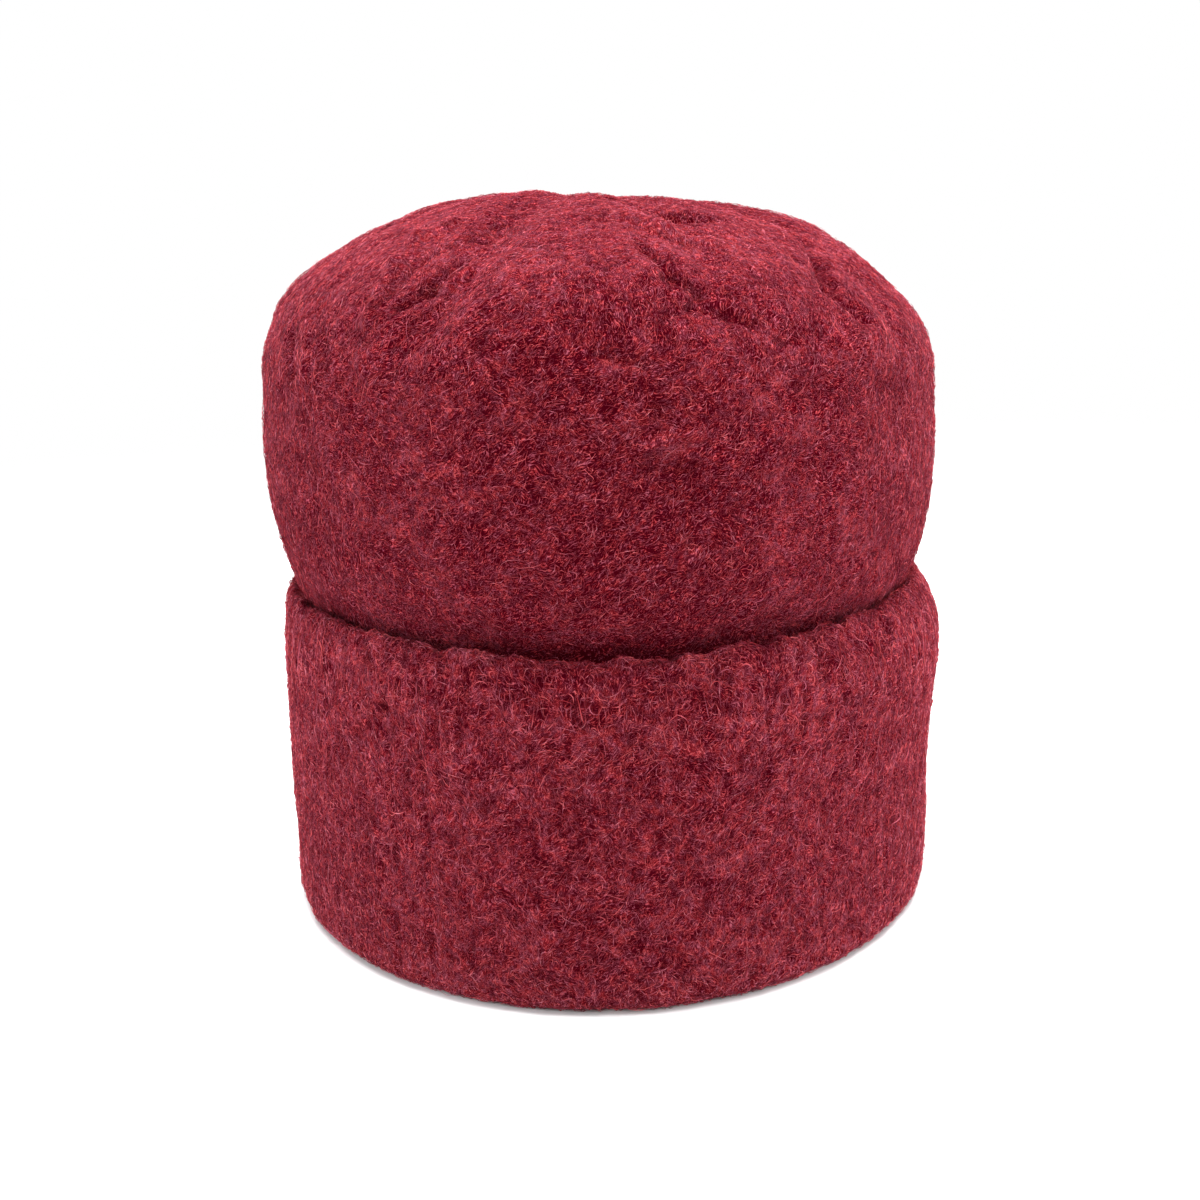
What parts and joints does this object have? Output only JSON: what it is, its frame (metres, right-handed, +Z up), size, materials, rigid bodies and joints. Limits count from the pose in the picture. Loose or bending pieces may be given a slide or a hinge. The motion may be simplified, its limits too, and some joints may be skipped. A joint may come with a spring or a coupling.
{
  "type": "beanie",
  "caption": "Felted wool beanie with a low gathered crown and a deep turned-up cuff, standing open side down on its folded rim.",
  "frame": {"origin": "centre of the hat's outline in plan, on the surface that the folded rim rests on", "axes": "+Z up through the crown, -Y the front, +X to the right as seen from the front"},
  "size_m": [0.1945, 0.2224, 0.2006],
  "materials": {
    "crown_felt": "matte",
    "cuff_felt": "matte"
  },
  "bodies": {
    "root": {"crown": "crown_felt", "cuff": "cuff_felt"}
  },
  "joints": []
}
